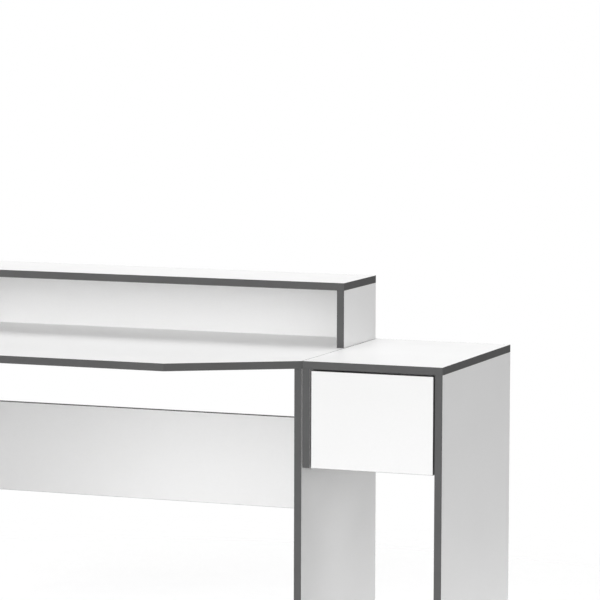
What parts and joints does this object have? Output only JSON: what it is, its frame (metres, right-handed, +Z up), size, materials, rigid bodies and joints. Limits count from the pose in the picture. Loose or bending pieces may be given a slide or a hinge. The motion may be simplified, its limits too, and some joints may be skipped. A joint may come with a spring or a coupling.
{
  "type": "corner desk",
  "caption": "Corner desk of white melamine board with dark edges: main top with a cut corner and an open monitor riser, a return wing, and a side unit with a handleless drawer.",
  "frame": {"origin": "middle of the desk's footprint, on the floor", "axes": "+X along the main desk towards the side unit with the drawer, +Y to the rear edge of the main desk, +Z up"},
  "size_m": [1.6546, 1.4006, 0.888],
  "materials": {
    "white_melamine": "white melamine-faced chipboard, fine matt texture",
    "anthracite_edging": "anthracite plastic edge band, fine satin grain",
    "white_hardboard": "white-lacquered hardboard",
    "white_steel": "white powder-coated sheet steel",
    "roller_nylon": "white nylon",
    "glide_plastic": "dark moulded plastic",
    "spacer_plastic": "grey moulded plastic",
    "cast_zinc": "die-cast zinc",
    "zinc_plated_steel": "bright zinc plate",
    "beech_dowel": "fluted beech"
  },
  "bodies": {
    "desk_frame": {"cabinet_roller_rivets": "zinc_plated_steel", "cabinet_runner_left": "white_steel", "cabinet_runner_right": "white_steel", "cabinet_runner_screws": "zinc_plated_steel", "cam_bolts": "zinc_plated_steel", "cam_housings": "cast_zinc", "connecting_plates": "zinc_plated_steel", "gap_spacers": "spacer_plastic", "joining_bolts": "zinc_plated_steel", "joining_sleeves": "zinc_plated_steel", "leg_glides": "glide_plastic", "main_left_leg": "white_melamine", "main_left_leg_edging": "anthracite_edging", "main_modesty_panel": "white_melamine", "main_modesty_panel_edging": "anthracite_edging", "main_right_leg": "white_melamine", "main_right_leg_edging": "anthracite_edging", "main_top": "white_melamine", "main_top_edging": "anthracite_edging", "plate_screws": "zinc_plated_steel", "return_leg": "white_melamine", "return_leg_edging": "anthracite_edging", "return_modesty_panel": "white_melamine", "return_modesty_panel_edging": "anthracite_edging", "return_top": "white_melamine", "return_top_edging": "anthracite_edging", "riser_back": "white_hardboard", "riser_back_nails": "zinc_plated_steel", "riser_left_side": "white_melamine", "riser_right_side": "white_melamine", "riser_sides_edging": "anthracite_edging", "riser_top": "white_melamine", "riser_top_edging": "anthracite_edging", "unit_back_panel": "white_melamine", "unit_back_panel_edging": "anthracite_edging", "unit_inner_panel": "white_melamine", "unit_inner_panel_edging": "anthracite_edging", "unit_leg": "white_melamine", "unit_leg_edging": "anthracite_edging", "unit_top": "white_melamine", "unit_top_edging": "anthracite_edging", "wooden_dowels": "beech_dowel"},
    "drawer": {"drawer_back": "white_melamine", "drawer_bottom": "white_hardboard", "drawer_box_edging": "anthracite_edging", "drawer_cam_bolts": "zinc_plated_steel", "drawer_cam_housings": "cast_zinc", "drawer_front": "white_melamine", "drawer_front_edging": "anthracite_edging", "drawer_left_side": "white_melamine", "drawer_right_side": "white_melamine", "drawer_roller_rivets": "zinc_plated_steel", "drawer_runner_left": "white_steel", "drawer_runner_right": "white_steel", "drawer_runner_screws": "zinc_plated_steel", "drawer_wooden_dowels": "beech_dowel"},
    "cabinet_roller_left": {"cabinet_roller_left": "roller_nylon"},
    "cabinet_roller_right": {"cabinet_roller_right": "roller_nylon"},
    "drawer_roller_left": {"drawer_roller_left": "roller_nylon"},
    "drawer_roller_right": {"drawer_roller_right": "roller_nylon"}
  },
  "joints": [
    {"name": "drawer_slide", "type": "slide", "parent": "desk_frame", "child": "drawer", "axis": [0, -1, 0], "range_m": [0, 0.27]},
    {"name": "cabinet_roller_left_spin", "type": "hinge", "parent": "desk_frame", "child": "cabinet_roller_left", "pos_m": [0.54705, 0.28125, 0.5607], "axis": [1, 0, 0], "range_deg": [0, 1720]},
    {"name": "cabinet_roller_right_spin", "type": "hinge", "parent": "desk_frame", "child": "cabinet_roller_right", "pos_m": [0.80495, 0.28125, 0.5607], "axis": [1, 0, 0], "range_deg": [0, 1720]},
    {"name": "drawer_roller_left_spin", "type": "hinge", "parent": "drawer", "child": "drawer_roller_left", "pos_m": [0.54885, 0.60525, 0.561], "axis": [1, 0, 0], "range_deg": [0, 1720]},
    {"name": "drawer_roller_right_spin", "type": "hinge", "parent": "drawer", "child": "drawer_roller_right", "pos_m": [0.80315, 0.60525, 0.561], "axis": [1, 0, 0], "range_deg": [0, 1720]}
  ],
  "couplings": [
    {"joint": "cabinet_roller_left_spin", "follows": "drawer_slide", "rad_per_m": 111.11},
    {"joint": "cabinet_roller_right_spin", "follows": "drawer_slide", "rad_per_m": 111.11},
    {"joint": "drawer_roller_left_spin", "follows": "drawer_slide", "rad_per_m": 111.11},
    {"joint": "drawer_roller_right_spin", "follows": "drawer_slide", "rad_per_m": 111.11}
  ]
}
